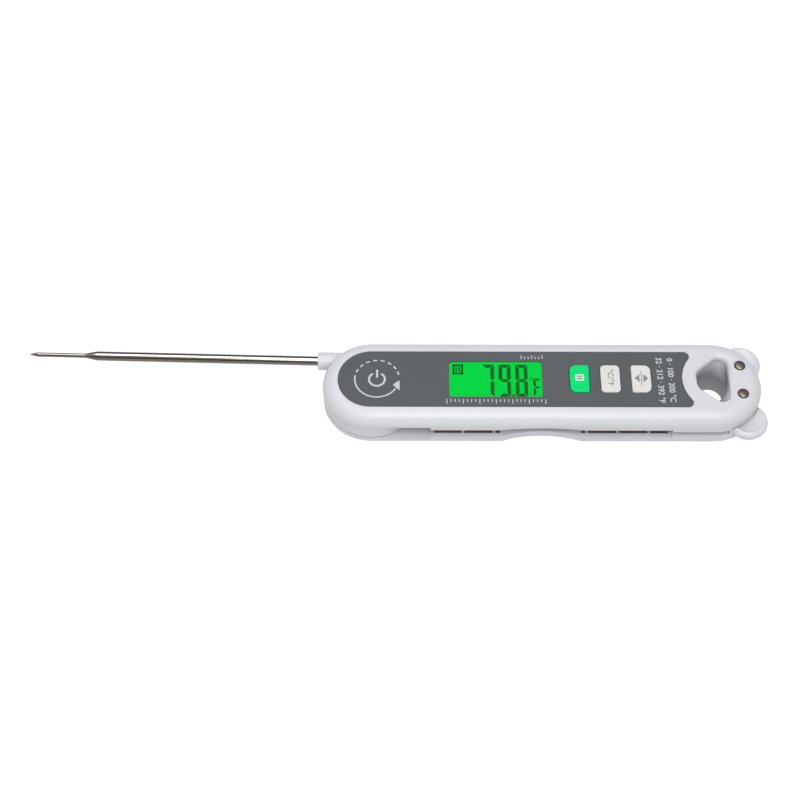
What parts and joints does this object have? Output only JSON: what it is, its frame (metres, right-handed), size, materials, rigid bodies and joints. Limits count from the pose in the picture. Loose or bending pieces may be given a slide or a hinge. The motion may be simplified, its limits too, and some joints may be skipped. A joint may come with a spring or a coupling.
{
  "type": "folding meat thermometer",
  "caption": "Pocket digital cooking thermometer with a fold-out steel probe, a lit display, push buttons and a bear-faced hanging end.",
  "frame": {"origin": "point of the back face under the probe hinge axis", "axes": "+Z out of the display along the hinge axis, +X from the hinge to the hanging end, +Y away from the probe slot"},
  "size_m": [0.2753, 0.0404, 0.0154],
  "materials": {
    "housing_white": "smooth white, satin to semi-gloss",
    "label_grey": "printed satin overlay",
    "clear_window": "clear acrylic",
    "display_green": "backlit liquid crystal",
    "light_guide": "frosted acrylic",
    "button_green": "green rubber-like key",
    "button_white": "white key",
    "black_plastic": "moulded black",
    "seal_rubber": "silicone rubber",
    "board": "glass-fibre circuit board",
    "probe_steel": "polished stainless steel",
    "zinc_steel": "plated steel",
    "stud_metal": "dark polished metal",
    "lead_red": "lead insulation"
  },
  "bodies": {
    "housing": {"front_shell": "housing_white", "back_cover": "housing_white", "label_panel": "label_grey", "lcd_window": "clear_window", "lcd_glass": "display_green", "lcd_frame": "black_plastic", "zebra_strip_far": "seal_rubber", "zebra_strip_near": "seal_rubber", "backlight_guide": "light_guide", "backlight_led": "light_guide", "circuit_board": "board", "controller_chip": "black_plastic", "reed_switch": "clear_window", "tact_switch_1": "black_plastic", "tact_switch_2": "black_plastic", "tact_switch_3": "black_plastic", "keypad_seal": "seal_rubber", "coin_cell": "zinc_steel", "contact_negative": "zinc_steel", "contact_positive": "zinc_steel", "housing_gasket": "seal_rubber", "housing_screw_1": "zinc_steel", "housing_screw_2": "zinc_steel", "housing_screw_3": "zinc_steel", "housing_screw_4": "zinc_steel", "pivot_screw": "zinc_steel", "eye_stud_far": "stud_metal", "eye_stud_near": "stud_metal", "board_leads": "lead_red"},
    "probe_arm": {"probe_hub": "housing_white", "hub_seal_ring": "seal_rubber", "fold_magnet": "zinc_steel", "probe_tube": "probe_steel", "thermistor": "black_plastic", "sensor_leads": "lead_red"},
    "power_button": {"button_1": "button_green"},
    "hold_button": {"button_2": "button_white"},
    "unit_button": {"button_3": "button_white"},
    "door_ring": {"battery_door_seal": "seal_rubber"},
    "battery_lid": {"battery_door": "housing_white"}
  },
  "joints": [
    {"name": "probe_fold", "type": "hinge", "parent": "housing", "child": "probe_arm", "pos_m": [0, 0, 0.0055], "axis": [0, 0, 1], "range_deg": [0, 181.48]},
    {"name": "power_press", "type": "slide", "parent": "housing", "child": "power_button", "axis": [0, 0, -1], "range_m": [0, 0.0004], "stiffness_N_per_m": 1500},
    {"name": "hold_press", "type": "slide", "parent": "housing", "child": "hold_button", "axis": [0, 0, -1], "range_m": [0, 0.0004], "stiffness_N_per_m": 1500},
    {"name": "unit_press", "type": "slide", "parent": "housing", "child": "unit_button", "axis": [0, 0, -1], "range_m": [0, 0.0004], "stiffness_N_per_m": 1500},
    {"name": "door_lift", "type": "slide", "parent": "housing", "child": "door_ring", "axis": [0, 0, -1], "range_m": [0, 0.006]},
    {"name": "door_turn", "type": "hinge", "parent": "door_ring", "child": "battery_lid", "pos_m": [0.092, 0.00275, 0.001], "axis": [0, 0, -1], "range_deg": [0, 60]}
  ]
}
